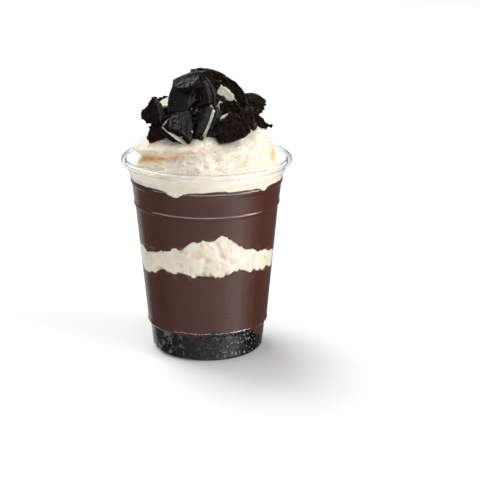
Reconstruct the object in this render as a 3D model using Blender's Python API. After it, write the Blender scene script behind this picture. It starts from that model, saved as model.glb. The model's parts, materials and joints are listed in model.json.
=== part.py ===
"""Cookie parfait in its clear plastic cup.

From the foot up the cup holds a base of cookie crumbs, pudding, a wavy band of cream, pudding
again, and a piped swirl of cream that stands above the rim, with broken sandwich cookies pushed
into it.

Frame: metres, +Z up. The cup's axis is Z, its foot stands on Z = 0 and its front faces -Y.
Angles round the cup are measured from the front (-Y) towards the right (+X).
"""

import math
import random

import bmesh
import bpy
from mathutils import Matrix, Vector
from mathutils.bvhtree import BVHTree

MM = 0.001

# Gap kept between pieces that touch.
GAP = 0.3 * MM

SAME_POINT = 0.0005 * MM
SOCKET_SAME_POINT = 0.002 * MM
SHARP_EDGE = math.radians(35)

# Cup, from its underside at the axis out to the foot and up the wall: radius and height of each
# corner of the sheet's middle line, and the radius of the round there, in mm.
SHEET = 0.6 * MM
CUP_SEGMENTS = 48
CUP_CORNERS = [
    (0.0, 2.9, 0.0),
    (23.8, 2.9, 1.2),
    (26.0, 0.3, 0.8),
    (29.8, 0.3, 2.4),
    (31.3, 15.2, 0.0),
    (32.4, 16.9, 0.0),
    (38.35, 81.2, 0.0),
    (38.95, 82.5, 0.0),
    (40.3, 94.6, 4.0),
    (43.4, 102.6, 2.0),
]
BEAD_CENTRE = (44.55 * MM, 105.55 * MM)
BEAD_RADIUS = 1.15 * MM
BEAD_CURL = 225
BEAD_STEPS = 6

# The wall is outside this radius, and these are the heights where its inside bends, which the
# contents follow.
FOOT_EDGE = 29.0 * MM
FOOT_ROUND_TOP = 4.0 * MM
CRUMB_MIDDLE = 6.0 * MM
LOWER_RING = 15.2 * MM
LOWER_PUDDING_MIDDLE = 30.0 * MM
BAND_MIDDLE = 56.0 * MM
UPPER_RING = 81.2 * MM
NECK = 94.0 * MM
BEND_STANDBACK = 1.0 * MM

# Contents: the height of each boundary at the wall in mm, as a level with humps and dips.
# A hump is (angle in degrees, width in degrees, rise in mm).
CONTENTS_SEGMENTS = 54
LAYER_GAP = 0.5 * MM
# Each boundary has a ring part of the way out, which takes part of the sway that it has at the wall.
MIDDLE_RING = 0.6
MIDDLE_SWAY = 0.4
CRUMB_HUMPS = [
    (-64, 18, 1.2),
    (-16, 12, -1.2),
    (8, 9, 2.6),
    (34, 7, 2.2),
    (70, 17, -7.0),
    (150, 30, -2.0),
]
BAND_BOTTOM_HUMPS = [
    (-66, 16, -3.2),
    (-40, 8, 2.2),
    (-22, 7, 1.6),
    (29, 9, 2.6),
    (88, 24, -2.4),
    (170, 30, 2.0),
]
BAND_TOP_HUMPS = [
    (14, 16, 9.4),
    (-8, 12, 6.5),
    (-28, 10, 2.0),
    (-60, 14, -2.2),
    (88, 28, -6.5),
    (165, 35, 4.0),
]
SWIRL_FOOT_HUMPS = [
    (-24, 5, -3.3),
    (47, 4, -2.0),
    (9, 12, 0.5),
    (-110, 14, -1.6),
    (140, 20, 1.2),
]
CRUMB_TOP = (15.6, CRUMB_HUMPS)
BAND_BOTTOM = (49.6, BAND_BOTTOM_HUMPS)
BAND_TOP = (62.0, BAND_TOP_HUMPS)
SWIRL_FOOT = (96.5, SWIRL_FOOT_HUMPS)

# Swirl of cream: radius and height along its outline in mm, from the wall up to the hidden peak.
SWIRL_OUTLINE = [
    (39.6, 96.5),
    (40.2, 99.2),
    (38.6, 102.4),
    (37.1, 106.0),
    (36.5, 110.5),
    (35.6, 114.8),
    (32.6, 118.4),
    (26.5, 121.4),
    (20.0, 125.0),
    (14.0, 130.5),
    (8.0, 136.5),
    (0.0, 140.0),
]
SWIRL_TILT = 2.0 * MM
SWIRL_CENTRE_X = -0.8 * MM
SWIRL_ROWS_PER_STEP = 2
# The cream is held by the wall below the first of these heights, and is free above the second.
SWIRL_HELD = 99.0 * MM
SWIRL_FREE = 107.0 * MM
# Near the peak the relief dies away over this height.
PEAK_FADE = 6.0 * MM
# The seam between two coils: its height at the front, its rise in one turn, its sway from an even
# climb, and how deep and wide it is.
SEAM_HEIGHT = 115.6 * MM
SEAM_RISE = 26.0 * MM
SEAM_SWAY = 2.0 * MM
SEAM_DEPTH = 3.2 * MM
SEAM_WIDTH = 2.5 * MM
COIL_BULGE = 1.0 * MM
COIL_BULGE_ABOVE_SEAM = 6.0 * MM
COIL_BULGE_WIDTH = 4.0 * MM
# Slow waves in the cream: how many round the cup, how high, and their turn in radians for each mm up.
SLOW_WAVES = [(3, 0.35 * MM, 0.55), (7, 0.25 * MM, -0.55)]

# Sandwich cookie.
COOKIE_RADIUS = 22.5 * MM
FILLING_RADIUS = 21.3 * MM
WAFER_THICKNESS = 3.8 * MM
FILLING_THICKNESS = 1.7 * MM
RIM_BEVEL = 0.9 * MM
# Against its wafers the filling keeps this share of the rim, and is this much less deep.
FILLING_ARC = 0.97
FILLING_SETBACK = 0.6 * MM
# Where the other wafer broke off, the filling is torn back this far from the rim.
FILLING_TORN_BACK = 4.4 * MM
WANDER_OF_BREAK = 0.72 * MM
# The broken side of a piece: how far along it each corner is, and how far in from the rim, as shares.
BREAK_CORNERS = [(0.86, 0.5), (0.55, 0.95), (0.0, 1.05), (-0.5, 0.9), (-0.9, 0.45)]
BREAK_SCATTER = 0.085
# How much narrower the broken side of a wholly pointed piece is at its tip.
MOST_NARROWING = 0.75
# The height of a wafer's middle row of points, as a share of its thickness.
WAFER_MIDDLE = 0.42
DEGREES_PER_RIM_STEP = 13

# Each piece: name, what it is, centre in mm, the way its face looks (angle from the front towards
# the right, angle above the horizon), the turn of its rim from straight up towards the right as the
# face is looked at, the angle of rim it keeps, its depth in mm from the rim inwards, and how far its
# broken side runs to a point, from 0 to 1.
COOKIES = [
    ("centre", "sandwich", (0.0, -20.0, 127.8), (-77, 24), 88, 52, 11.5, 0.2),
    ("front_left", "sandwich", (-12.6, -21.5, 126.4), (30, 42), 110, 52, 15.0, 0.5),
    ("front_right", "open", (11.5, -20.0, 127.0), (194, -4), -165, 46, 13.5, 0.1),
    ("open_back", "open", (11.2, -2.5, 136.4), (-16, 22), 56, 70, 20.0, 0.0),
    ("middle", "sandwich", (-3.5, -4.0, 142.2), (-32, 22), 50, 60, 14.0, 0.0),
    ("open_front", "wafer", (14.0, -12.0, 127.8), (-8, 24), -95, 62, 15.0, 0.1),
    ("ridged", "wafer", (-11.4, -12.0, 138.2), (-20, 26), -84, 46, 15.0, 0.0),
    ("under", "wafer", (-5.2, -14.0, 130.0), (-4, 30), 10, 34, 9.5, 0.0),
    ("left", "open", (-23.5, -2.0, 136.0), (-20, 70), -70, 46, 13.0, 0.2),
    ("left_low", "wafer", (-26.0, -16.0, 123.0), (-40, 14), 150, 34, 10.0, 0.3),
    ("right_point", "wafer", (26.0, -1.0, 124.0), (20, 24), -78, 34, 17.0, 0.9),
    ("right_edge", "wafer", (25.5, 10.0, 131.5), (50, 10), 20, 44, 13.0, 0.2),
    ("right_lump", "wafer", (19.5, -15.0, 131.0), (30, 26), 100, 26, 9.0, 0.3),
    ("top_left", "wafer", (-8.5, -13.0, 149.0), (-38, 50), -28, 50, 10.0, 0.1),
    ("top_right", "wafer", (0.8, 9.0, 146.4), (18, 34), 14, 50, 11.0, 0.1),
    ("left_lump", "wafer", (-24.8, -10.4, 130.4), (-38, 12), 60, 38, 11.5, 0.2),
    ("back_left", "sandwich", (-17.0, 19.0, 125.5), (-150, 34), 30, 56, 14.0, 0.1),
    ("back_right", "sandwich", (14.0, 20.0, 126.0), (160, 30), -40, 56, 14.0, 0.2),
    ("back", "sandwich", (-1.0, 15.0, 136.5), (172, 44), 10, 54, 13.0, 0.1),
]
SOCKET_SPACE = 0.34 * MM
COOKIE_GAP = 0.345 * MM
FIRST_SEED = 11
# How far a piece may be moved to clear the others, in whole mm, and what a move in depth counts for.
MOST_SHIFT = 7
DEPTH_COST = 0.3


def point_at(angle, radius, height):
    return Vector((radius * math.sin(angle), -radius * math.cos(angle), height))


def wavy(level, humps):
    """The height of a boundary at each angle round the wall."""

    def height(angle):
        total = level
        for centre, width, rise in humps:
            away = (math.degrees(angle) - centre + 180) % 360 - 180
            total += rise * math.exp(-((away / width) ** 2))
        return total * MM

    return height


def rounded(corners, degrees_per_step=40):
    """Points (radius, height) through the corners, with an arc where a corner is round."""
    points = []
    for i, (r, z, bend) in enumerate(corners):
        here = Vector((r, z))
        if bend == 0 or i in (0, len(corners) - 1):
            points.append(here)
            continue
        before = (Vector(corners[i - 1][:2]) - here).normalized()
        after = (Vector(corners[i + 1][:2]) - here).normalized()
        turn = math.pi - before.angle(after)
        reach = bend * math.tan(turn / 2)
        centre = here + (before + after).normalized() * (bend / math.cos(turn / 2))
        start = here + before * reach - centre
        side = math.copysign(1, before.x * after.y - before.y * after.x)
        steps = max(1, round(math.degrees(turn) / degrees_per_step))
        for k in range(steps + 1):
            points.append(centre + Matrix.Rotation(side * -turn * k / steps, 2) @ start)
    return [p * MM for p in points]


def beside(points, distance):
    """The same line moved to its left by a distance, which for the cup's line is inwards."""
    moved = []
    for i, here in enumerate(points):
        ways = []
        if i > 0:
            ways.append((here - points[i - 1]).normalized())
        if i < len(points) - 1:
            ways.append((points[i + 1] - here).normalized())
        lefts = [Vector((-w.y, w.x)) for w in ways]
        middle = sum(lefts, Vector((0, 0))).normalized()
        moved.append(here + middle * (distance / middle.dot(lefts[0])))
    return moved


def cup_line():
    """The middle line of the cup's sheet, from the axis to the end of the curled rim."""
    line = rounded(CUP_CORNERS)
    for k in range(BEAD_STEPS + 1):
        a = math.radians(180 - BEAD_CURL * k / BEAD_STEPS)
        spoke = Vector((math.cos(a), math.sin(a))) * BEAD_RADIUS
        line.append(Vector(BEAD_CENTRE) + spoke)
    return line


def line_of_contents():
    wall = rounded(CUP_CORNERS)
    return beside(wall, SHEET / 2 + GAP)


CONTENTS_LINE = line_of_contents()


def inside_radius(height):
    """How far out the contents reach at a height.

    The wall opens upwards, so a line from a little lower down stands back from its bends.
    """
    wall = [p for p in CONTENTS_LINE if p.x > FOOT_EDGE]
    height -= BEND_STANDBACK
    for low, high in zip(wall, wall[1:]):
        if height <= high.y:
            share = (height - low.y) / (high.y - low.y)
            return low.x + (high.x - low.x) * max(share, 0)
    return wall[-1].x


def paint(obj, colour, roughness, alpha):
    name, shade = colour
    material = bpy.data.materials.get(name) or bpy.data.materials.new(name)
    material.use_nodes = True
    shader = material.node_tree.nodes["Principled BSDF"]
    shader.inputs["Base Color"].default_value = (*shade, 1.0)
    shader.inputs["Roughness"].default_value = roughness
    shader.inputs["Alpha"].default_value = alpha
    obj.data.materials.append(material)


CLEAR_PLASTIC = ("clear plastic", (0.90, 0.92, 0.93))
CREAM = ("cream", (0.90, 0.84, 0.70))
PUDDING = ("pudding", (0.070, 0.030, 0.020))
CRUMBS = ("crumbs", (0.020, 0.016, 0.015))
WAFER = ("wafer", (0.018, 0.011, 0.009))
FILLING = ("filling", (0.80, 0.80, 0.66))


def finish(name, mesh, colour, roughness, alpha=1.0):
    """Turns a bmesh into a named object with outward faces."""
    bmesh.ops.remove_doubles(mesh, verts=mesh.verts, dist=SAME_POINT)
    bmesh.ops.recalc_face_normals(mesh, faces=mesh.faces)
    data = bpy.data.meshes.new(name)
    mesh.to_mesh(data)
    mesh.free()
    obj = bpy.data.objects.new(name, data)
    bpy.context.scene.collection.objects.link(obj)
    paint(obj, colour, roughness, alpha)
    data.shade_smooth()
    data.set_sharp_from_angle(angle=SHARP_EDGE)
    return obj


def skin(mesh, rings):
    """Joins rings of points, each a list or one point, into a surface, one ring to the next.

    Each face is split from its wider side, so that two surfaces that face each other are split alike.
    """
    made = [[mesh.verts.new(p) for p in ring] for ring in rings]
    for low, high in zip(made, made[1:]):
        count = max(len(low), len(high))
        for i in range(count):
            j = (i + 1) % count
            if len(low) == 1:
                mesh.faces.new((low[0], high[j], high[i]))
            elif len(high) == 1:
                mesh.faces.new((low[i], low[j], high[0]))
            elif low[0].co.xy.length > high[0].co.xy.length:
                mesh.faces.new((low[i], low[j], high[j]))
                mesh.faces.new((low[i], high[j], high[i]))
            else:
                mesh.faces.new((low[i], low[j], high[i]))
                mesh.faces.new((low[j], high[j], high[i]))
    return made


def turned(line, segments):
    """The line turned round the axis, as rings. A point on the axis stays one point."""
    angles = [2 * math.pi * i / segments for i in range(segments)]
    rings = []
    for r, z in line:
        if r == 0:
            rings.append([Vector((0, 0, z))])
        else:
            rings.append([point_at(a, r, z) for a in angles])
    return rings


def build_cup():
    line = cup_line()
    outside = beside(line, -SHEET / 2)
    inside = beside(line, SHEET / 2)
    for edge in (outside, inside):
        edge[0].x = 0.0
    mesh = bmesh.new()
    skin(mesh, turned(outside + inside[::-1], CUP_SEGMENTS))
    return finish("cup", mesh, CLEAR_PLASTIC, 0.05, alpha=0.3)


def boundary(shape, lift):
    """Rings of a boundary between two contents, from the wall to the axis: flatter towards the axis."""
    height = wavy(*shape)
    level = shape[0] * MM
    angles = [2 * math.pi * i / CONTENTS_SEGMENTS for i in range(CONTENTS_SEGMENTS)]
    edge = []
    middle = []
    for a in angles:
        edge.append(point_at(a, inside_radius(height(a)), height(a) + lift))
        near = level + (height(a) - level) * MIDDLE_SWAY
        middle.append(point_at(a, MIDDLE_RING * inside_radius(level), near + lift))
    return [edge, middle, [Vector((0, 0, level + lift))]]


def wall_rings(low, high, bends):
    """Rings up the wall between two edges, at the bends where it can and in order where it can't."""
    rings = []
    for k, bend in enumerate(bends):
        ring = []
        for bottom, top in zip(low, high):
            least = bottom.z + (k + 1) * MM
            most = top.z - (len(bends) - k) * MM
            z = min(max(bend, least), most)
            angle = math.atan2(bottom.x, -bottom.y)
            ring.append(point_at(angle, inside_radius(z), z))
        rings.append(ring)
    return rings


def build_layer(name, bottom, top, bends, colour, roughness):
    under = boundary(bottom, LAYER_GAP / 2)
    over = boundary(top, -LAYER_GAP / 2)
    mesh = bmesh.new()
    skin(mesh, under[::-1] + wall_rings(under[0], over[0], bends) + over)
    return finish(name, mesh, colour, roughness)


def build_crumb_base():
    """Crumbs fill the cup from its floor, whose underside is hollowed, up to the lower ring."""
    floor = [p.copy() for p in CONTENTS_LINE if p.y < FOOT_ROUND_TOP]
    floor[0].x = 0.0
    under = turned(floor, CONTENTS_SEGMENTS)
    over = boundary(CRUMB_TOP, -LAYER_GAP / 2)
    mesh = bmesh.new()
    skin(mesh, under + wall_rings(under[-1], over[0], [CRUMB_MIDDLE, LOWER_RING]) + over)
    return finish("crumb_base", mesh, CRUMBS, 0.8)


def seam_height(angle):
    """The seam climbs to the right. The angle runs from -pi, behind, to pi, behind again one turn up."""
    return SEAM_HEIGHT + SEAM_RISE * angle / (2 * math.pi) + SEAM_SWAY * math.sin(angle)


def swirl_relief(angle, height):
    """How far the cream stands out from its smooth outline."""
    relief = 0.0
    for turn in (-1, 0, 1):
        above = height - seam_height(angle) - turn * SEAM_RISE
        bulge = (above - COIL_BULGE_ABOVE_SEAM) / COIL_BULGE_WIDTH
        relief -= SEAM_DEPTH * math.exp(-((above / SEAM_WIDTH) ** 2))
        relief += COIL_BULGE * math.exp(-(bulge**2))
    for count, rise, twist in SLOW_WAVES:
        relief += rise * math.sin(count * angle + twist * height / MM)
    return relief


def smooth_line(corners, steps):
    """A smooth line through the corners (a Catmull-Rom spline)."""
    points = []
    last = len(corners) - 1
    for i in range(last):
        a, b, c, d = (Vector(corners[min(max(i + k, 0), last)]) for k in (-1, 0, 1, 2))
        slope = c - a
        bend = 2 * a - 5 * b + 4 * c - d
        twist = 3 * b - a - 3 * c + d
        for k in range(steps):
            t = k / steps
            points.append((2 * b + slope * t + bend * t**2 + twist * t**3) / 2)
    points.append(Vector(corners[-1]))
    return [p * MM for p in points]


def build_swirl():
    foot = boundary(SWIRL_FOOT, LAYER_GAP / 2)
    outline = smooth_line(SWIRL_OUTLINE, SWIRL_ROWS_PER_STEP)
    angles = [2 * math.pi * i / CONTENTS_SEGMENTS for i in range(CONTENTS_SEGMENTS)]
    rings = foot[::-1]
    peak = outline[-1].y
    for r, z in outline[1:-1]:
        free = min(1.0, max(0.0, (z - SWIRL_HELD) / (SWIRL_FREE - SWIRL_HELD)))
        fade = min(1.0, (peak - z) / PEAK_FADE)
        ring = []
        for a in angles:
            turn = a if a <= math.pi else a - 2 * math.pi
            relief = swirl_relief(turn, z) * free * fade
            out = point_at(a, min(r + relief, inside_radius(z)), z)
            ring.append(out + Vector((SWIRL_CENTRE_X * free, 0, SWIRL_TILT * math.sin(a) * free)))
        rings.append(ring)
    rings.append([Vector((SWIRL_CENTRE_X, 0, peak))])
    mesh = bmesh.new()
    skin(mesh, rings)
    return finish("cream_swirl", mesh, CREAM, 0.5)


def broken_outline(rng, arc, depth, point, radius):
    """One broken piece seen from above, its rim towards +X: points (x, y, on the rim or not)."""
    half = math.radians(arc) / 2
    rim_steps = max(3, round(arc / DEGREES_PER_RIM_STEP))
    points = []
    for k in range(rim_steps + 1):
        a = -half + 2 * half * k / rim_steps
        points.append((radius * math.cos(a), radius * math.sin(a), True))
    end = radius * math.sin(half)
    back = COOKIE_RADIUS - depth
    for share, inward in BREAK_CORNERS:
        narrowing = 1 - point * inward * MOST_NARROWING
        x = radius * math.cos(half) * (1 - inward) + back * inward
        y = end * share * narrowing
        scatter = BREAK_SCATTER * depth
        points.append((x + rng.uniform(-1, 1) * scatter, y + rng.uniform(-1, 1) * scatter, False))
    return points


def slab(outline, levels, rng, bevel_to=None):
    """A slab over an outline. Levels are heights; its broken sides wander, and one face is bevelled."""
    mesh = bmesh.new()
    rings = []
    for z in levels:
        ring = []
        for x, y, rim in outline:
            if rim:
                shrink = 1 - RIM_BEVEL / COOKIE_RADIUS if z == bevel_to else 1.0
                ring.append(Vector((x * shrink, y * shrink, z)))
            else:
                wander = Vector((rng.uniform(-1, 1), rng.uniform(-1, 1), 0)) * WANDER_OF_BREAK
                ring.append(Vector((x, y, z)) + wander)
        rings.append(ring)
    made = skin(mesh, rings)
    mesh.faces.new(made[0][::-1])
    mesh.faces.new(made[-1])
    bmesh.ops.triangulate(mesh, faces=mesh.faces)
    bmesh.ops.recalc_face_normals(mesh, faces=mesh.faces)
    return mesh


def wafer(rng, arc, depth, point, inner, outer):
    """A piece of wafer between two heights, with its bevelled, embossed face at the outer one."""
    outline = broken_outline(rng, arc, depth, point, COOKIE_RADIUS)
    way = math.copysign(1, outer - inner)
    middle = inner + way * WAFER_THICKNESS * WAFER_MIDDLE
    levels = [inner, middle, outer - way * RIM_BEVEL, outer]
    return slab(outline, levels, rng, bevel_to=outer)


def filling(rng, arc, depth, point, radius, inner, outer):
    """The filling between two wafers, which stands back a little from their edges."""
    shallower = depth - FILLING_SETBACK
    outline = broken_outline(rng, arc * FILLING_ARC, shallower, point, radius)
    return slab(outline, [inner, (inner + outer) / 2, outer], rng)


def piece_meshes(kind, arc, depth, point, seed):
    """The meshes of one piece of cookie, (suffix, mesh), around its own centre with its face to +Z."""
    half = FILLING_THICKNESS / 2
    rng = random.Random(seed)
    inner = half + GAP
    outer = inner + WAFER_THICKNESS
    if kind == "wafer":
        meshes = [("", wafer(rng, arc, depth, point, -WAFER_THICKNESS / 2, WAFER_THICKNESS / 2))]
    else:
        meshes = [("_lower", wafer(rng, arc, depth, point, -inner, -outer))]
        radius = FILLING_RADIUS - (FILLING_TORN_BACK if kind == "open" else 0)
        meshes.append(("_filling", filling(rng, arc, depth, point, radius, -half, half)))
    if kind == "sandwich":
        meshes.append(("_upper", wafer(rng, arc, depth, point, inner, outer)))
    middle = Vector((COOKIE_RADIUS - depth * 0.5, 0, 0))
    for _, mesh in meshes:
        bmesh.ops.translate(mesh, verts=mesh.verts, vec=-middle)
    return meshes


def stance(facing, turn):
    """The rotation of a piece whose face looks one way and whose rim is turned from straight up."""
    round_z, above = (math.radians(v) for v in facing)
    face = point_at(round_z, math.cos(above), math.sin(above))
    up = point_at(round_z, -math.sin(above), math.cos(above))
    right = up.cross(face)
    rim = up * math.cos(math.radians(turn)) + right * math.sin(math.radians(turn))
    side = face.cross(rim)
    return Matrix((rim, side, face)).transposed().to_4x4()


def hull_of(meshes, placing, space):
    """The convex hull round a piece, in the world, grown by a space."""
    hull = bmesh.new()
    for _, mesh in meshes:
        for vert in mesh.verts:
            hull.verts.new(placing @ vert.co)
    bmesh.ops.convex_hull(hull, input=hull.verts)
    inside = [v for v in hull.verts if not v.link_faces]
    bmesh.ops.delete(hull, geom=inside, context="VERTS")
    hull.normal_update()
    grown = {v: v.co + v.normal * space * v.calc_shell_factor() for v in hull.verts}
    for vert, place in grown.items():
        vert.co = place
    return hull


def tree_of(meshes, placing, space=0.0):
    """A search tree over a piece's own surfaces, each grown by a space."""
    points = []
    faces = []
    for _, mesh in meshes:
        mesh.normal_update()
        mesh.verts.index_update()
        start = len(points)
        for vert in mesh.verts:
            points.append(placing @ (vert.co + vert.normal * space * vert.calc_shell_factor()))
        faces += [[start + v.index for v in face.verts] for face in mesh.faces]
    return BVHTree.FromPolygons(points, faces)


def shifts(reach):
    """Ways to move a piece, the smallest first. A move in depth, along Y, counts for less."""
    steps = range(-reach, reach + 1)
    grid = [Vector((x, y, z)) for x in steps for y in steps for z in steps]
    grid.sort(key=lambda way: way.x**2 + DEPTH_COST * way.y**2 + way.z**2)
    return [way * MM for way in grid]


SHIFTS = shifts(MOST_SHIFT)


def settle(meshes, placing, placed):
    """Moves a piece by the least that clears those already there."""
    for way in SHIFTS:
        moved = Matrix.Translation(way) @ placing
        grown = tree_of(meshes, moved, COOKIE_GAP)
        if not any(grown.overlap(other) for other in placed):
            return moved
    raise ValueError("a piece found no room")


def build_cookies():
    """Places every piece, and returns a hull round each for the socket it makes in the cream."""
    placed = []
    sockets = []
    for seed, cookie in enumerate(COOKIES, start=FIRST_SEED):
        name, kind, centre, facing, turn, arc, depth, point = cookie
        meshes = piece_meshes(kind, arc, depth * MM, point, seed)
        placing = Matrix.Translation(Vector(centre) * MM) @ stance(facing, turn)
        placing = settle(meshes, placing, placed)
        placed.append(tree_of(meshes, placing))
        sockets.append(hull_of(meshes, placing, SOCKET_SPACE))
        for suffix, mesh in meshes:
            colour = FILLING if suffix == "_filling" else WAFER
            obj = finish(f"cookie_{name}{suffix}", mesh, colour, 0.55)
            obj.matrix_world = placing
    return sockets


def keep_largest(mesh):
    """Drops the loose scraps that the sockets cut off."""
    left = set(mesh.verts)
    islands = []
    while left:
        island = {left.pop()}
        edge = set(island)
        while edge:
            edge = {e.other_vert(v) for v in edge for e in v.link_edges} - island
            island |= edge
        left -= island
        islands.append(island)
    largest = max(islands, key=len)
    scraps = [v for v in mesh.verts if v not in largest]
    bmesh.ops.delete(mesh, geom=scraps, context="VERTS")


def cut_sockets(swirl, sockets):
    """Cuts the cream where the cookies are pushed into it."""
    for i, hull in enumerate(sockets):
        cutter_data = bpy.data.meshes.new(f"socket_{i}")
        hull.to_mesh(cutter_data)
        hull.free()
        cutter = bpy.data.objects.new(f"socket_{i}", cutter_data)
        bpy.context.scene.collection.objects.link(cutter)
        cut = swirl.modifiers.new("socket", "BOOLEAN")
        cut.operation = "DIFFERENCE"
        cut.object = cutter
        cut.solver = "MANIFOLD"
        bpy.context.view_layer.update()
        evaluated = swirl.evaluated_get(bpy.context.evaluated_depsgraph_get())
        mesh = bmesh.new()
        mesh.from_mesh(evaluated.to_mesh())
        evaluated.to_mesh_clear()
        swirl.modifiers.remove(cut)
        keep_largest(mesh)
        bmesh.ops.remove_doubles(mesh, verts=mesh.verts, dist=SOCKET_SAME_POINT)
        bmesh.ops.triangulate(mesh, faces=mesh.faces)
        mesh.to_mesh(swirl.data)
        mesh.free()
        bpy.data.objects.remove(cutter)


def build_parfait():
    build_cup()
    build_crumb_base()
    lower_bends = [LOWER_RING, LOWER_PUDDING_MIDDLE]
    build_layer("pudding_lower", CRUMB_TOP, BAND_BOTTOM, lower_bends, PUDDING, 0.35)
    build_layer("cream_band", BAND_BOTTOM, BAND_TOP, [BAND_MIDDLE], CREAM, 0.6)
    build_layer("pudding_upper", BAND_TOP, SWIRL_FOOT, [UPPER_RING, NECK], PUDDING, 0.35)
    swirl = build_swirl()
    cut_sockets(swirl, build_cookies())


for old in list(bpy.data.objects):
    bpy.data.objects.remove(old)
build_parfait()
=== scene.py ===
# %% [markdown]
# # A cookie parfait in its clear cup
#
# The part is a clear plastic cup that holds, from the foot up, cookie crumbs, pudding, a band of
# cream, pudding again and a piped swirl of cream with broken sandwich cookies pushed into it.
# Its solids are a fixed frame, made elsewhere. This lesson dresses them: each solid is replaced by
# a finer mesh of the same form with its own finish, and then the floor, the lights and the camera
# are set up. Lengths are in metres, and values in millimetres are multiplied by MM.

# %% Tools, units and the frame
import json
import math
import random

import bmesh
import bpy
import numpy as np
from mathutils import Euler, Matrix, Vector, noise
from mathutils.bvhtree import BVHTree

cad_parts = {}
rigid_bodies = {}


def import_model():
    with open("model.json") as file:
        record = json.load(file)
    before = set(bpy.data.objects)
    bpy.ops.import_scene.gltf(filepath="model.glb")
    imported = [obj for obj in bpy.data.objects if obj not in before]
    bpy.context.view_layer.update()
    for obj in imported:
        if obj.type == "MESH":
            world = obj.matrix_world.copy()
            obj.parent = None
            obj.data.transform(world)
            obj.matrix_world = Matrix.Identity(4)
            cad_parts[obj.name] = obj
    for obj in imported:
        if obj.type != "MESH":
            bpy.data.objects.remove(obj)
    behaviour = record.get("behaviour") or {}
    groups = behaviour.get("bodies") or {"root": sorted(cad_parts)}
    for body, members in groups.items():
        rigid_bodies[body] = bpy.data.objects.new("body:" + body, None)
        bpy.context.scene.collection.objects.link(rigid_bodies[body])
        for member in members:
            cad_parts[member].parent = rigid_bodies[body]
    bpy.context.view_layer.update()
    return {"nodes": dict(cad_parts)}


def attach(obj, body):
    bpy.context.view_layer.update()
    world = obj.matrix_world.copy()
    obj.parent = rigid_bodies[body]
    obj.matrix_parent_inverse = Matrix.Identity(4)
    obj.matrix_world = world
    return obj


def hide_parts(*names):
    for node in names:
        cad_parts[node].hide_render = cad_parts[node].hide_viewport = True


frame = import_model()
MM = 0.001
BODY = "root"

# %% [markdown]
# ## Small helpers
#
# An operator in Blender acts on all that is selected, so every step first picks one object. A mesh
# of many thousand corners is shaped fastest as one table of places: the helpers below read the
# corners of an object as rows of numbers and write them back.


# %% Picking, modifying and finishing an object
def pick(obj):
    """Leaves one object selected and active."""
    bpy.ops.object.select_all(action="DESELECT")
    obj.select_set(True)
    bpy.context.view_layer.objects.active = obj


def modify(obj, kind, **settings):
    """Adds one modifier with its settings and applies it."""
    pick(obj)
    modifier = obj.modifiers.new(kind.title(), kind)
    for name, value in settings.items():
        setattr(modifier, name, value)
    bpy.ops.object.modifier_apply(modifier=modifier.name)


def merge_and_face_outwards(obj, distance):
    """Merges corners that lie together and turns all faces outwards."""
    pick(obj)
    bpy.ops.object.mode_set(mode="EDIT")
    bpy.ops.mesh.select_all(action="SELECT")
    bpy.ops.mesh.remove_doubles(threshold=distance)
    bpy.ops.mesh.normals_make_consistent(inside=False)
    bpy.ops.object.mode_set(mode="OBJECT")


def corners_of(obj):
    """The corners of a mesh as rows of x, y, z."""
    table = np.empty(len(obj.data.vertices) * 3)
    obj.data.vertices.foreach_get("co", table)
    return table.reshape(-1, 3)


def directions_of(obj):
    """The outward direction at each corner."""
    table = np.empty(len(obj.data.vertices) * 3)
    obj.data.vertex_normals.foreach_get("vector", table)
    return table.reshape(-1, 3)


def move_corners(obj, places):
    """Puts every corner of a mesh at its new place."""
    obj.data.vertices.foreach_set("co", np.ascontiguousarray(places).ravel())
    obj.data.update()


def mark(obj, name, amounts):
    """Stores one number from 0 to 1 at each corner, for a material to read."""
    attribute = obj.data.attributes.new(name, "FLOAT", "POINT")
    attribute.data.foreach_set("value", np.clip(amounts, 0, 1).astype(np.float32))


def deliver(obj, finish, slot, *nodes):
    """Gives a finished piece its material and its body, and hides the solids that it stands for. The
    slot is not used.
    """
    obj.data.materials.clear()
    obj.data.materials.append(finish)
    pick(obj)
    bpy.ops.object.shade_smooth()
    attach(obj, BODY)
    if nodes:
        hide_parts(*nodes)


# %% [markdown]
# ## Noise and soft steps
#
# Food has no exact shape. Each relief below is a sum of smooth noise at a few sizes: large lumps
# first, then finer ones. A soft step fades a relief in where it belongs.


# %% Soft steps and lumps
def soft_step(values, low, high):
    """0 below low, 1 above high, and a smooth rise between them."""
    share = np.clip((np.asarray(values, float) - low) / (high - low), 0, 1)
    return share * share * (3 - 2 * share)


def lumps(places, size, seed=0, octaves=2):
    """Smooth noise at each place, about -1 to 1, with lumps of one size."""
    offset = np.array((17.3, 5.1, 9.7)) * (seed + 1)
    inputs = np.asarray(places) / size + offset
    return np.array([noise.fractal(Vector(row), 0.7, 2.1, octaves) for row in inputs])


def pebbles(places, size, seed=0):
    """Rounded grains side by side, 1 on top of a grain and 0 in the cracks between them."""
    offset = np.array((11.9, 3.3, 7.1)) * (seed + 1)
    inputs = np.asarray(places) / size + offset
    nearest = np.array([noise.voronoi(Vector(row))[0][:2] for row in inputs])
    return np.clip((nearest[:, 1] - nearest[:, 0]) * 1.8, 0, 1)


def heap_of(centre, width, angles):
    """A hump round one angle, 1 at its middle. Angles are in degrees from the front to the right."""
    away = (angles - centre + 180) % 360 - 180
    return np.exp(-((away / width) ** 2))


def wavy(edge, angles):
    """The height of an edge round the cup: a level with humps and dips, and a ragged line on top."""
    level, humps, ragged = edge
    height = np.full(len(angles), float(level))
    for centre, width, rise in humps:
        height += rise * heap_of(centre, width, angles)
    turns = np.radians(angles)
    for coarse, share in ((4.5, 1.0), (11.0, 0.9), (26.0, 0.6)):
        ring = np.stack([np.cos(turns), np.sin(turns), np.full(len(turns), level)], axis=1)
        height += ragged * share * lumps(ring * coarse, 1.0, seed=3)
    return height * MM


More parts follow.
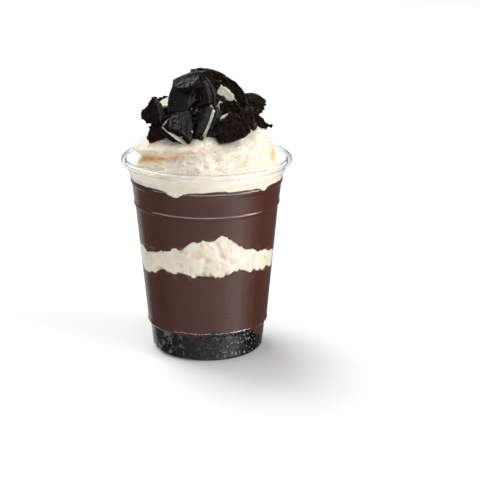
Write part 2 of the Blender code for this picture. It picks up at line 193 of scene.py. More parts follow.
# %% [markdown]
# ## Shared effect: mottling
#
# Cream, pudding, crumbs and cookie are all uneven in tone and grain. One shader node group makes
# that unevenness from noise on Object coordinates. Each material places it with its own sizes, and
# takes a tone for its colour and a height for its bump.


# %% The mottle node group
def build_mottle():
    """Patches and grain, blended and spread over a range of tones."""
    group = bpy.data.node_groups.new("Mottle", "ShaderNodeTree")
    for name in ("Patch Scale", "Grain Scale", "Low", "High", "Grain Share"):
        group.interface.new_socket(name=name, in_out="INPUT", socket_type="NodeSocketFloat")
    for name in ("Tone", "Height"):
        group.interface.new_socket(name=name, in_out="OUTPUT", socket_type="NodeSocketFloat")
    nodes = group.nodes
    links = group.links
    given = nodes.new("NodeGroupInput")
    result = nodes.new("NodeGroupOutput")
    place = nodes.new("ShaderNodeTexCoord")
    patches = nodes.new("ShaderNodeTexNoise")
    patches.inputs["Detail"].default_value = 3.0
    grain = nodes.new("ShaderNodeTexNoise")
    grain.inputs["Detail"].default_value = 4.0
    grain.inputs["Roughness"].default_value = 0.65
    spread = nodes.new("ShaderNodeMapRange")
    blend = nodes.new("ShaderNodeMix")
    links.new(place.outputs["Object"], patches.inputs["Vector"])
    links.new(place.outputs["Object"], grain.inputs["Vector"])
    links.new(given.outputs["Patch Scale"], patches.inputs["Scale"])
    links.new(given.outputs["Grain Scale"], grain.inputs["Scale"])
    links.new(patches.outputs["Fac"], blend.inputs["A"])
    links.new(grain.outputs["Fac"], blend.inputs["B"])
    links.new(given.outputs["Grain Share"], blend.inputs["Factor"])
    links.new(blend.outputs["Result"], spread.inputs["Value"])
    links.new(given.outputs["Low"], spread.inputs["From Min"])
    links.new(given.outputs["High"], spread.inputs["From Max"])
    links.new(spread.outputs["Result"], result.inputs["Tone"])
    links.new(grain.outputs["Fac"], result.inputs["Height"])
    return group


MOTTLE = build_mottle()
BUMP_DEPTH = 0.3 * MM
print("mottle group sockets:", [item.name for item in MOTTLE.interface.items_tree])


# %% A food material: two tones, an optional stain, and a bump
def blend_colours(nodes, links, share, first, second):
    """Mixes two colours by a share. Each is a colour or a socket that gives one."""
    blend = nodes.new("ShaderNodeMix")
    blend.data_type = "RGBA"
    links.new(share, blend.inputs[0])
    for socket, given in zip(blend.inputs[6:8], (first, second)):
        if isinstance(given, tuple):
            socket.default_value = (*given, 1)
        else:
            links.new(given, socket)
    return blend.outputs[2]


def between(nodes, links, share, start, end):
    """Turns a share from 0 to 1 into a value from start to end."""
    spread = nodes.new("ShaderNodeMapRange")
    spread.inputs["To Min"].default_value = start
    spread.inputs["To Max"].default_value = end
    links.new(share, spread.inputs["Value"])
    return spread.outputs["Result"]


def food(name, dark, light, roughness, mottle, bump, stain=None, stained_gloss=1.0, **shine):
    """Mottle is (patch scale, grain scale, low, high, grain share). Stain is (attribute, colour).

    Roughness goes from its first value in the dark tone to its second in the light tone.
    Stained gloss is the share of the shine that is left where the stain is.
    """
    material = bpy.data.materials.new(name)
    material.use_nodes = True
    nodes = material.node_tree.nodes
    links = material.node_tree.links
    shader = nodes["Principled BSDF"]
    for socket, value in shine.items():
        shader.inputs[socket.replace("_", " ")].default_value = value
    effect = nodes.new("ShaderNodeGroup")
    effect.node_tree = MOTTLE
    for socket, value in zip(effect.inputs, mottle):
        socket.default_value = value
    tone = effect.outputs["Tone"]
    links.new(between(nodes, links, tone, *roughness), shader.inputs["Roughness"])
    colour = blend_colours(nodes, links, tone, dark, light)
    if stain:
        reader = nodes.new("ShaderNodeAttribute")
        reader.attribute_name = stain[0]
        stained = reader.outputs["Fac"]
        colour = blend_colours(nodes, links, stained, colour, stain[1])
    if stain and stained_gloss < 1:
        gloss = shader.inputs["Specular IOR Level"]
        full = gloss.default_value
        links.new(between(nodes, links, stained, full, full * stained_gloss), gloss)
    links.new(colour, shader.inputs["Base Color"])
    relief = nodes.new("ShaderNodeBump")
    relief.inputs["Strength"].default_value = bump
    relief.inputs["Distance"].default_value = BUMP_DEPTH
    links.new(effect.outputs["Height"], relief.inputs["Height"])
    links.new(relief.outputs["Normal"], shader.inputs["Normal"])
    return material


# %% [markdown]
# ### Five foods
#
# Whipped cream is a warm white that lets a little light in. Pudding is dark brown, and it has no
# shine of its own, because the plastic in front of it has the gloss. Crumbs are nearly black, with
# pale specks that are partly painted glints. A cocoa wafer is black with a hard sheen on its pressed
# face and a dull, browner break. The filling is a firm, matt white with a faint green cast.

# %% The food finishes
CREAM = food(
    "whipped_cream",
    dark=(0.80, 0.70, 0.56),
    light=(0.88, 0.82, 0.71),
    roughness=(0.6, 0.5),
    mottle=(140, 900, 0.35, 0.62, 0.2),
    bump=0.35,
    # The stain colour is amber: caramel in patches, and painted warm shade in the hollows of the band
    # and the creases of the swirl.
    stain=("caramel", (0.82, 0.46, 0.14)),
    Subsurface_Weight=0.25,
    Subsurface_Radius=(0.9, 0.7, 0.45),
    Subsurface_Scale=2.5 * MM,
)
PUDDING = food(
    "chocolate_pudding",
    dark=(0.064, 0.0230, 0.0170),
    light=(0.075, 0.0270, 0.0195),
    roughness=(0.65, 0.5),
    mottle=(45, 300, 0.35, 0.65, 0.15),
    bump=0.0,
    stain=("milky", (0.30, 0.17, 0.12)),
    Specular_IOR_Level=0.0,
)
CRUMBS = food(
    "cookie_crumbs",
    dark=(0.0015, 0.0014, 0.0014),
    light=(0.026, 0.023, 0.0225),
    roughness=(0.5, 0.8),
    mottle=(330, 900, 0.50, 0.64, 0.5),
    bump=0.6,
    # The pale speck colour is partly pale specks and partly painted glints.
    stain=("speck", (0.62, 0.61, 0.58)),
    Specular_IOR_Level=0.0,
)
WAFER = food(
    "cocoa_wafer",
    dark=(0.0004, 0.0003, 0.0002),
    light=(0.0095, 0.0050, 0.0034),
    roughness=(0.10, 0.22),
    mottle=(300, 1400, 0.36, 0.68, 0.5),
    bump=0.9,
    stain=("broken", (0.0125, 0.0060, 0.0042)),
    stained_gloss=0.2,
    Specular_IOR_Level=0.18,
    Specular_Tint=(0.95, 0.97, 1.0, 1.0),
)
FILLING = food(
    "vanilla_filling",
    dark=(0.62, 0.62, 0.48),
    light=(0.80, 0.80, 0.66),
    roughness=(0.65, 0.5),
    mottle=(220, 1200, 0.36, 0.62, 0.4),
    bump=0.5,
)
print("food finishes:", [m.name for m in (CREAM, PUDDING, CRUMBS, WAFER, FILLING)])

# %% [markdown]
# ## Clear plastic
#
# The cup is thin and clear, so it needs a glass-like shader: light passes, bends a little and is
# mirrored at shallow angles. Light that comes through glass is slow to find in a render, so shadow
# and diffuse rays pass straight through instead.


# %% The clear plastic finish
def clear_plastic():
    """A glass shader that shadow and diffuse rays pass straight through."""
    material = bpy.data.materials.new("clear_plastic")
    material.use_nodes = True
    nodes = material.node_tree.nodes
    links = material.node_tree.links
    shader = nodes["Principled BSDF"]
    shader.inputs["Base Color"].default_value = (0.995, 0.998, 1.0, 1)
    shader.inputs["Roughness"].default_value = 0.04
    shader.inputs["IOR"].default_value = 1.47
    shader.inputs["Transmission Weight"].default_value = 1.0
    path = nodes.new("ShaderNodeLightPath")
    either = nodes.new("ShaderNodeMath")
    either.operation = "MAXIMUM"
    open_way = nodes.new("ShaderNodeBsdfTransparent")
    choice = nodes.new("ShaderNodeMixShader")
    links.new(path.outputs["Is Shadow Ray"], either.inputs[0])
    links.new(path.outputs["Is Diffuse Ray"], either.inputs[1])
    links.new(either.outputs[0], choice.inputs[0])
    links.new(shader.outputs[0], choice.inputs[1])
    links.new(open_way.outputs[0], choice.inputs[2])
    links.new(choice.outputs[0], nodes["Material Output"].inputs["Surface"])
    return material


CLEAR = clear_plastic()

# %% [markdown]
# ## The cup
#
# The real cup is one thin sheet, drawn down into a mould: a hollowed foot, a straight flared wall
# with a small step near its top and another above the foot, a flared mouth and a rolled rim.
# So it is made as one line, the middle of the sheet, rounded at its corners, spun round the axis
# and then given the sheet's thickness by a Solidify modifier.

# %% The middle line of the sheet: radius, height and round of each corner in mm
SHEET = 0.6
SEGMENTS = 192
CUP_CORNERS = [
    (0.0, 2.9, 0.0),
    (23.8, 2.9, 1.2),
    (26.0, 0.3, 0.8),
    (29.8, 0.3, 2.4),
    (31.25, 14.6, 0.3),
    (31.85, 15.1, 0.3),
    (32.75, 16.3, 0.5),
    (32.42, 16.9, 0.3),
    (38.36, 81.2, 0.3),
    (38.90, 81.7, 0.3),
    (39.20, 82.4, 0.5),
    (38.78, 83.1, 0.3),
    (40.00, 93.0, 0.5),
    (40.55, 94.0, 0.5),
    (40.75, 95.0, 0.5),
    (40.40, 95.6, 0.4),
    (41.50, 99.6, 1.5),
    (43.30, 102.6, 1.5),
]
BEAD_CENTRE = (44.25, 105.25)
BEAD_RADIUS = 1.45
BEAD_CURL = 225
DEGREES_A_STEP = 12
WALL_BEYOND = 29.0


def rounded(corners):
    """Points (radius, height) through the corners, with an arc where a corner is round."""
    points = []
    for i, (r, z, bend) in enumerate(corners):
        here = Vector((r, z))
        if bend == 0 or i in (0, len(corners) - 1):
            points.append(here)
            continue
        before = (Vector(corners[i - 1][:2]) - here).normalized()
        after = (Vector(corners[i + 1][:2]) - here).normalized()
        turn = math.pi - before.angle(after)
        centre = here + (before + after).normalized() * (bend / math.cos(turn / 2))
        start = here + before * bend * math.tan(turn / 2) - centre
        side = math.copysign(1, before.x * after.y - before.y * after.x)
        steps = max(2, round(math.degrees(turn) / DEGREES_A_STEP))
        for k in range(steps + 1):
            points.append(centre + Matrix.Rotation(side * -turn * k / steps, 2) @ start)
    return points


def sheet_line():
    """The rounded line of the cup, and the bead that curls over at its rim."""
    line = rounded(CUP_CORNERS)
    steps = BEAD_CURL // DEGREES_A_STEP
    for k in range(steps + 1):
        a = math.radians(180 - BEAD_CURL * k / steps)
        line.append(Vector(BEAD_CENTRE) + Vector((math.cos(a), math.sin(a))) * BEAD_RADIUS)
    return line


SHEET_LINE = sheet_line()
WALL_LINE = [p for p in rounded(CUP_CORNERS) if p.x > WALL_BEYOND]


def wall_radius(heights):
    """The radius of the middle of the wall at heights in metres."""
    return np.interp(heights, [p.y * MM for p in WALL_LINE], [p.x * MM for p in WALL_LINE])


rim_width = 2 * max(p.x for p in SHEET_LINE)
print("sheet line:", len(SHEET_LINE), "points, rim", round(rim_width, 1), "mm across")


# %% Spinning a line into a shape
SPUN_MERGE = 0.004 * MM
COPY_MERGE = 0.002 * MM


def spun(name, line, segments):
    """Spins a line of (radius, height) points in mm round the cup's axis."""
    data = bpy.data.meshes.new(name)
    points = [(r * MM, 0, z * MM) for r, z in line]
    data.from_pydata(points, [(i, i + 1) for i in range(len(points) - 1)], [])
    obj = bpy.data.objects.new(name, data)
    bpy.context.scene.collection.objects.link(obj)
    pick(obj)
    bpy.ops.object.mode_set(mode="EDIT")
    bpy.ops.mesh.select_all(action="SELECT")
    bpy.ops.mesh.spin(steps=segments, angle=2 * math.pi, center=(0, 0, 0), axis=(0, 0, 1))
    bpy.ops.object.mode_set(mode="OBJECT")
    merge_and_face_outwards(obj, SPUN_MERGE)
    return obj


# %% Making the cup
cup = spun("drawn_cup", SHEET_LINE, SEGMENTS)
modify(cup, "SOLIDIFY", thickness=SHEET * MM, offset=0.0, use_even_offset=True)
merge_and_face_outwards(cup, COPY_MERGE)
deliver(cup, CLEAR, "clear_plastic", "cup")
print("cup:", len(cup.data.polygons), "faces")

# %% [markdown]
# ## The layers in the cup
#
# Each layer fills the cup from wall to wall. Where food touches the plastic no air is between
# them, so a layer reaches to just inside the middle of the sheet, and its surface shows through the
# outer skin of the wall. A layer is spun as a plain drum, with many rows up the wall. Its rows are
# then stretched between a wavy bottom edge and a wavy top edge. Two layers share an edge.

# %% The edges between the layers: level, humps (angle, width, rise in mm) and raggedness
FLOOR_LEVEL = 4.0
CRUMB_LEVEL = 15.6
BAND_LOW = 49.6
BAND_HIGH = 62.0
SWIRL_LOW = 96.5
CRUMB_EDGE = (
    CRUMB_LEVEL,
    [(-64, 18, 1.2), (-16, 12, -1.2), (8, 9, 2.6), (34, 7, 2.2), (70, 17, -7.0), (150, 30, -2.0)],
    0.55,
)
BAND_FOOT = (
    BAND_LOW,
    [(-66, 16, -3.2), (-40, 8, 2.2), (-22, 7, 1.6), (29, 9, 2.6), (88, 24, -2.4), (170, 30, 2.0)],
    0.8,
)
BAND_TOP = (
    BAND_HIGH,
    [(14, 16, 9.4), (-8, 12, 6.5), (-28, 10, 2.0), (-60, 14, -2.2), (88, 28, -6.5), (165, 35, 4.0)],
    0.8,
)
SWIRL_FOOT = (
    SWIRL_LOW,
    [(-24, 7, -3.3), (47, 4, -2.0), (9, 12, 0.5), (-110, 14, -1.6), (140, 20, 1.2)],
    0.4,
)
JUST_INSIDE = 0.05


def angles_of(places):
    """The angle of each place round the cup, in degrees from the front to the right."""
    return np.degrees(np.arctan2(places[:, 0], -places[:, 1]))


def drum(name, low, high, pitch, segments, floor=None):
    """A drum between two levels in mm, as wide as the wall. A floor line may replace its bottom."""
    rows = np.linspace(low, high, round((high - low) / pitch) + 1)
    wide = wall_radius(rows * MM) / MM
    line = floor or [(0, low), (wide[0] * 0.5, low), (wide[0] - 1.0, low)]
    line = line + list(zip(wide, rows))
    line += [(wide[-1] - 1.0, high), (wide[-1] * 0.5, high), (0, high)]
    return spun(name, line, segments)


def stretch(obj, low, high, low_edge, high_edge, into_wall):
    """Stretches a drum's rows to lie between two wavy edges, and keeps them on the wall."""
    places = corners_of(obj)
    angles = angles_of(places)
    radius = np.hypot(places[:, 0], places[:, 1])
    outward = radius / wall_radius(places[:, 2])
    share = np.clip((places[:, 2] - low * MM) / ((high - low) * MM), 0, 1)
    calm = soft_step(outward, 0.2, 0.9)
    sunk = (low_edge - low * MM) * calm * (1 - share)
    risen = (high_edge - high * MM) * calm * share
    above_floor = places[:, 2] >= low * MM - 1e-6
    places[:, 2] += np.where(above_floor, sunk + risen, 0)
    target = wall_radius(places[:, 2]) * outward - into_wall * soft_step(outward, 0.9, 1.0)
    scale = np.where(above_floor & (radius > 0), target / np.maximum(radius, 1e-9), 1.0)
    places[:, :2] *= scale[:, None]
    move_corners(obj, places)
    return outward


def edges_for(obj, low_edge, high_edge):
    """The heights of a layer's two edges at the angle of each of its corners."""
    angles = angles_of(corners_of(obj))
    return wavy(low_edge, angles), wavy(high_edge, angles)


def push_in(obj, depth):
    """Moves each corner towards the axis by its own depth."""
    places = corners_of(obj)
    radius = np.maximum(np.hypot(places[:, 0], places[:, 1]), 1e-9)
    places[:, :2] *= (1 - depth / radius)[:, None]
    move_corners(obj, places)


# %% [markdown]
# ### Crumb base
#
# Moist crumbs are pressed against the plastic nearly everywhere and leave small hollows between
# them. The wall of this layer is pitted by one noise, and a finer noise marks the pale specks, partly
# painted glints, which are painted most at the front right.

# %% Making the crumb base
OFF_FLOOR = 0.1
foot_line = [p for p in SHEET_LINE if p.y < FLOOR_LEVEL - 0.3]
floor_line = [(max(p.x - OFF_FLOOR, 0), p.y + OFF_FLOOR) for p in foot_line]
crumb_base = drum("crumb_base_fill", FLOOR_LEVEL, CRUMB_LEVEL, 0.45, 400, floor_line)
low, high = edges_for(crumb_base, (FLOOR_LEVEL, [], 0.0), CRUMB_EDGE)
outward = stretch(crumb_base, FLOOR_LEVEL, CRUMB_LEVEL, low, high, JUST_INSIDE * MM)
places = corners_of(crumb_base)
pits = soft_step(lumps(places, 3.2 * MM, 2), 0.30, 0.55) * 0.8
on_wall = soft_step(outward, 0.93, 0.99) * soft_step(places[:, 2], 1.0 * MM, 3.0 * MM)
push_in(crumb_base, pits * on_wall * MM)
# Pale specks, partly painted glints, painted most at the front right and less at the front left.
specks_and_glints = soft_step(lumps(places, 0.9 * MM, 4), 0.45, 0.62)
glint_sides = heap_of(38, 22, angles_of(places)) + 0.4 * heap_of(-45, 12, angles_of(places))
mark(crumb_base, "speck", specks_and_glints * on_wall * np.clip(glint_sides, 0, 1))
deliver(crumb_base, CRUMBS, "crumbs", "crumb_base")
print("crumb base:", len(crumb_base.data.polygons), "faces")

# %% [markdown]
# ### Pudding
#
# Pudding is poured, so it lies flat against the plastic. Its finish does nearly all the work: dark,
# smooth and only a little uneven, with a faint milky smear where it meets the band of cream.

# %% Making the two puddings
OVERLAP = 0.5 * MM
PUDDING_INSIDE = 0.12
SMEAR_REACH = 5.0
for name, node, foot, top in (
    ("lower_pudding", "pudding_lower", CRUMB_EDGE, BAND_FOOT),
    ("upper_pudding", "pudding_upper", BAND_TOP, SWIRL_FOOT),
):
    pudding = drum(name, foot[0], top[0], 0.8, 360)
    low, high = edges_for(pudding, foot, top)
    stretch(pudding, foot[0], top[0], low - OVERLAP, high + OVERLAP, PUDDING_INSIDE * MM)
    places = corners_of(pudding)
    cream_edge = low if node == "pudding_upper" else high
    near_cream = np.abs(places[:, 2] - cream_edge) / MM
    smear = soft_step(lumps(places * (1, 1, 2), 5 * MM, 9, 3), 0.15, 0.75)
    smear *= soft_step(-near_cream, -SMEAR_REACH, -1.0)
    mark(pudding, "milky", 0.35 * smear)
    deliver(pudding, PUDDING, "pudding", node)
    print(name, len(pudding.data.polygons), "faces")

# %% [markdown]
# ### Band of cream
#
# The cream was spooned in, so its edges are ragged and its face against the plastic has shallow
# hollows. The hollows are pushed in by noise of two sizes.

# %% Making the band of cream
band = drum("spooned_cream", BAND_LOW, BAND_HIGH, 0.4, 420)
low, high = edges_for(band, BAND_FOOT, BAND_TOP)
outward = stretch(band, BAND_LOW, BAND_HIGH, low, high, JUST_INSIDE * MM)
places = corners_of(band)
hollows = soft_step(lumps(places, 6.0 * MM, 5, 2), 0.0, 0.9) * 1.6
hollows += soft_step(lumps(places, 2.4 * MM, 6), 0.1, 0.9) * 0.5
on_wall = soft_step(outward, 0.93, 0.99)
push_in(band, hollows * on_wall * MM)
# Caramel patches, plus painted warm shade in the hollows that are pushed in above.
mark(band, "caramel", soft_step(lumps(places, 6 * MM, 8, 3), 0.35, 0.8) * 0.4 + 0.14 * hollows)
deliver(band, CREAM, "cream", "cream_band")
print("cream band:", len(band.data.polygons), "faces")
print("deepest hollow:", round(float(hollows.max()), 2), "mm")

# %% [markdown]
# ## The swirl of cream
#
# The swirl was piped in one coil that climbs to the right, so a seam runs round it. It is spun
# from its outline as a smooth body with many rows, and then every corner is moved in or out:
# a groove along the seam, a lip above it, slow waves, drag marks along the coil and small lumps.
# Below the seam on the left the cream is slightly curdled. Amber painted shade lies along the seam's
# crease there and in one fold on the right, and the left side has warmer amber patches.

# %% Outline and seam of the swirl in mm
SWIRL_OUTLINE = [
    (39.6, 96.5),
    (40.2, 99.2),
    (38.6, 102.4),
    (37.1, 106.0),
    (36.5, 110.5),
    (35.6, 114.8),
    (32.6, 118.4),
    (26.5, 121.4),
    (20.0, 125.0),
    (14.0, 130.5),
    (8.0, 136.5),
    (0.0, 140.0),
]
SWIRL_TOP = 140
SWIRL_TILT = 2.0
SWIRL_CENTRE_X = -0.8
HELD_BY_WALL = 99.0
FREE_ABOVE = 107.0
SEAM_HEIGHT = 117.4
SEAM_RISE = 26.0
SEAM_SWAY = 2.0
GROOVE_DEPTH = 3.0
LIP_HEIGHT = 1.3


def smooth_line(corners, steps):
    """A smooth line through the corners (a Catmull-Rom spline), as (radius, height) pairs."""
    points = []
    last = len(corners) - 1
    for i in range(last):
        a, b, c, d = (Vector(corners[min(max(i + k, 0), last)]) for k in (-1, 0, 1, 2))
        slope = c - a
        bend = 2 * a - 5 * b + 4 * c - d
        twist = 3 * b - a - 3 * c + d
        for k in range(steps):
            t = k / steps
            points.append((2 * b + slope * t + bend * t**2 + twist * t**3) / 2)
    points.append(Vector(corners[-1]))
    return points


def above_seam(angles, heights):
    """How far each place is above the nearest seam, in mm."""
    seam = SEAM_HEIGHT + SEAM_RISE * angles / 360 + SEAM_SWAY * np.sin(np.radians(angles))
    return (heights - seam + SEAM_RISE / 2) % SEAM_RISE - SEAM_RISE / 2


# %% Spinning the swirl, and its relief in mm
line = [(r, SWIRL_LOW) for r in (0, 20, 38.5)] + [tuple(p) for p in smooth_line(SWIRL_OUTLINE, 12)]
swirl = spun("piped_swirl", line, 460)
places = corners_of(swirl)
angles = angles_of(places)
turns = np.radians(angles)
heights = places[:, 2] / MM
radius = np.hypot(places[:, 0], places[:, 1]) / MM
above = above_seam(angles, heights)
groove = np.exp(-((above / 2.5) ** 2))
lip = np.exp(-(((above - 4.0) / 3.0) ** 2))
relief = -GROOVE_DEPTH * groove + LIP_HEIGHT * lip
relief += 0.35 * np.sin(3 * turns + 0.55 * heights) + 0.25 * np.sin(7 * turns - 0.55 * heights)
along = np.stack([turns * 4.5, (heights - angles * SEAM_RISE / 360) / 2.2, heights * 0], axis=1)
drag = lumps(along, 1.0, 11, 3)
relief += 0.6 * drag - 0.7 * (1 - np.minimum(np.abs(drag) * 2.5, 1)) ** 2
relief += 0.3 * lumps(along * (1, 2.6, 1), 1.0, 16, 2)
relief += 1.1 * lumps(places, 9 * MM, 12) + 0.2 * lumps(places, 2.4 * MM, 13, 3)
curdled = soft_step(-above, 0.5, 3.0) * (1 - soft_step(angles, -30, 15))
relief += 0.5 * curdled * (pebbles(places, 2.6 * MM, 14) - 0.5)
print("swirl relief from", round(float(relief.min()), 1), "to", round(float(relief.max()), 1), "mm")

# %% [markdown]
# The wall holds the foot of the swirl, and above the rim the cream is free. So the relief fades in
# with height and out again at the very top, and below the rim no corner may pass the wall. The foot
# follows the wavy edge that it shares with the pudding. The free part is tilted a little, as a
# piping bag held by hand leaves it.

# %% Shaping the swirl, and painting amber shade into its creases
free = soft_step(heights, HELD_BY_WALL, FREE_ABOVE)
fade = np.clip((SWIRL_TOP - heights) / 6, 0, 1)
moved = radius + relief * free * fade
wall = wall_radius(heights * MM) / MM - JUST_INSIDE
moved = np.where(heights < FREE_ABOVE, np.minimum(moved, wall), moved)
foot = wavy(SWIRL_FOOT, angles) / MM
hold = 1 - soft_step(heights, SWIRL_LOW, HELD_BY_WALL)
calm = soft_step(radius, 12, 36)
heights = heights + (foot - SWIRL_LOW) * hold * calm
on_wall = (radius > 39) & (heights < HELD_BY_WALL + 0.2)
moved = np.where(on_wall, wall_radius(heights * MM) / MM - JUST_INSIDE, moved)
places[:, 0] = (moved * np.sin(turns) + SWIRL_CENTRE_X * free) * MM
places[:, 1] = -moved * np.cos(turns) * MM
places[:, 2] = (heights + SWIRL_TILT * np.sin(turns) * free) * MM
move_corners(swirl, places)
# Amber painted shade in the seam's crease on the left and in one fold on the right, and warmer amber
# patches on the left.
left = heap_of(-62, 38, angles)
right_fold_shade = heap_of(74, 5, angles) * np.exp(-(((heights - 108) / 4.0) ** 2))
amber_crease_shade = np.exp(-(((above + 0.5) / 1.9) ** 2)) * left + right_fold_shade * 0.9
amber_crease_shade += 0.3 * left * soft_step(lumps(places, 4 * MM, 15, 2), 0.2, 0.9)
mark(swirl, "caramel", amber_crease_shade)
deliver(swirl, CREAM, "cream", "cream_swirl")
print("swirl:", len(swirl.data.polygons), "faces")

# %% [markdown]
# ## Broken cookies
#
# Every broken piece is a slab of a round wafer: a rim that is part of a circle, an embossed face
# and crumbly broken sides. The solids have that form in a few dozen faces. Here a copy of each is
# remeshed finely, and the program finds how the wafer lies: the direction of its two flat faces and
# the centre of the circle that its rim belongs to. That centre is found by trying circles of the
# wafer's radius through pairs of corners, and the side with more corners on its circle is the plain
# one. Then ribs are pressed into the rim and the border of the face, and rings and dashes into the
# face, and the break is roughened. One piece has a wide ribbed border. The crumbled pieces show
# their broken inside on nearly all sides.

# %% How a wafer lies
WAFER_RADIUS = 22.5 * MM
VOXEL = 0.3 * MM
SAME_WAY = 0.9995
ACROSS_ALL = (0.31, 0.17, 0.93)
ON_FACE = 0.03 * MM
ON_CIRCLE = 0.02 * MM
SHORTEST_CHORD = 0.5 * MM


def merged_copy(node, name):
    """A copy of a solid's mesh with its loose triangles joined."""
    data = frame["nodes"][node].data.copy()
    data.name = name
    obj = bpy.data.objects.new(name, data)
    bpy.context.scene.collection.objects.link(obj)
    merge_and_face_outwards(obj, COPY_MERGE)
    return obj


def flat_direction(obj):
    """The direction that the two large flat faces look in, from the areas of all the faces."""
    best = None
    faces = [(np.array(p.normal), p.area) for p in obj.data.polygons]
    for way, _ in faces:
        total = sum(area for other, area in faces if abs(other @ way) > SAME_WAY)
        if best is None or total > best[0]:
            best = (total, way)
    return best[1]


def circle_through(flat, radius):
    """The centre of the circle of that radius which most of the points lie on, and their count."""
    best = (0, None)
    for i in range(len(flat)):
        for j in range(i + 1, len(flat)):
            across = flat[j] - flat[i]
            half = np.linalg.norm(across) / 2
            if half < SHORTEST_CHORD or half >= radius:
                continue
            off = math.sqrt(radius**2 - half**2) / (2 * half)
            for side in (-off, off):
                centre = (flat[i] + flat[j]) / 2 + side * np.array((-across[1], across[0]))
                away = np.linalg.norm(flat - centre, axis=1)
                count = int((np.abs(away - radius) < ON_CIRCLE).sum())
                if count > best[0]:
                    best = (count, centre)
    return best


def lie_of(obj):
    """(centre of the round wafer on its plain face, direction of its embossed face, two axes)."""
    way = flat_direction(obj)
    places = corners_of(obj)
    axis_u = np.cross(way, ACROSS_ALL)
    axis_u /= np.linalg.norm(axis_u)
    axis_v = np.cross(way, axis_u)
    found = []
    for face in (way, -way):
        depth = places @ -face
        plain = places[depth > depth.max() - ON_FACE]
        flat = np.stack([plain @ axis_u, plain @ axis_v], axis=1)
        count, centre = circle_through(flat, WAFER_RADIUS)
        found.append((count, face, centre, -depth.max()))
    count, face, centre, level = max(found, key=lambda item: item[0])
    middle = centre[0] * axis_u + centre[1] * axis_v + level * face
    return count, middle, face, axis_u, axis_v


# %% The pattern pressed into a wafer's face: radii and heights in mm
EDGE = WAFER_RADIUS / MM
RIBS = 96
BORDER = 4.0
WIDE_BORDER = 12.0
RIB_HEIGHT = 0.24
WIDE_RIB_HEIGHT = 0.42
RIM_RIB_HEIGHT = 0.17
GROOVE_INSIDE_BORDER = 0.30
RINGS = (15.6, 8.4, 5.0)
RING_HEIGHT = 0.25
DASHES = (9.8, 14.4)
DASH_COUNT = 26
DASH_HEIGHT = 0.28


def pressed_pattern(radius, turn, border_width):
    """The height of the pattern at each place on the face, in mm."""
    inside = EDGE - border_width
    border = soft_step(radius, inside, inside + 0.5)
    rib_height = RIB_HEIGHT if border_width == BORDER else WIDE_RIB_HEIGHT
    groove = np.exp(-(((radius - inside + 0.5) / 0.4) ** 2))
    pattern = rib_height * np.cos(turn * RIBS) * border - GROOVE_INSIDE_BORDER * groove
    for ring in RINGS:
        pattern += RING_HEIGHT * np.exp(-(((radius - ring) / 0.5) ** 2)) * (ring < inside)
    first, last = DASHES
    dashes = soft_step(radius, first, first + 0.5) * soft_step(-radius, -last, 0.5 - last)
    raised = DASH_HEIGHT * dashes * soft_step(np.cos(turn * DASH_COUNT), -0.2, 0.6)
    return pattern + raised * (last < inside)


# %% Breaking a wafer
CRUMBLED = (
    "front_right_lower",
    "left_low",
    "left_lower",
    "left_lump",
    "open_back_lower",
    "open_front",
    "right_edge",
    "right_lump",
    "right_point",
    "top_right",
    "under",
)
PATTERN_LEFT = 0.35


def crags(places, broken, seed):
    """The relief of the broken sides in mm: lumps, and grains of two sizes."""
    on_break = broken > 0.02
    rough = places[on_break]
    relief = np.zeros(len(places))
    relief[on_break] = 1.4 * lumps(rough, 4.0 * MM, seed, 2) + 0.9 * pebbles(rough, 2.2 * MM, seed + 1)
    relief[on_break] += 0.45 * pebbles(rough, 1.1 * MM, seed + 2) - 0.75
    return relief


def make_wafer(node, name, seed, crumbled, border_width):
    """A finely meshed copy of one wafer, pressed and broken.

    Returns how many corners its rim was found by, and its number of faces.
    """
    obj = merged_copy(node, name)
    count, middle, face, axis_u, axis_v = lie_of(obj)
    modify(obj, "REMESH", mode="VOXEL", voxel_size=VOXEL, use_smooth_shade=True)
    places = corners_of(obj)
    facing = directions_of(obj)
    away = places - middle
    depth = away @ face / MM
    thick = depth.max()
    flat = away - np.outer(away @ face, face)
    radius = np.linalg.norm(flat, axis=1) / MM
    turn = np.arctan2(flat @ axis_v, flat @ axis_u)
    outer = flat / np.maximum(np.linalg.norm(flat, axis=1), 1e-9)[:, None]
    up = facing @ face
    on_face = soft_step(up, 0.5, 0.85) * soft_step(depth, thick - 1.0, thick - 0.3)
    on_rim = soft_step(radius, EDGE - 1.1, EDGE - 0.6) * (facing * outer).sum(axis=1)
    on_rim = np.clip(on_rim, 0, 1)
    broken = (1 - soft_step(np.abs(up), 0.35, 0.75)) * (1 - soft_step(radius, EDGE - 1.0, EDGE - 0.5))
    if crumbled:
        broken = np.maximum(broken, 1 - on_rim)
        on_face = on_face * PATTERN_LEFT
    wear = 0.8 + 0.5 * lumps(places, 3.0 * MM, seed + 4)
    pressed = pressed_pattern(radius, turn, border_width) * wear * on_face
    rim_ribs = RIM_RIB_HEIGHT * np.cos(turn * RIBS) * on_rim * soft_step(depth, 0.4, 0.9)
    grain = 0.10 * lumps(places, 0.8 * MM, seed + 3) + 0.18 * lumps(places, 2.5 * MM, seed + 5)
    rough = crags(places, broken, seed) * broken + grain
    move = face * pressed[:, None] + outer * rim_ribs[:, None] + facing * rough[:, None]
    move_corners(obj, places + move * MM)
    mark(obj, "broken", broken)
    deliver(obj, WAFER, "wafer", node)
    return count, len(obj.data.polygons)


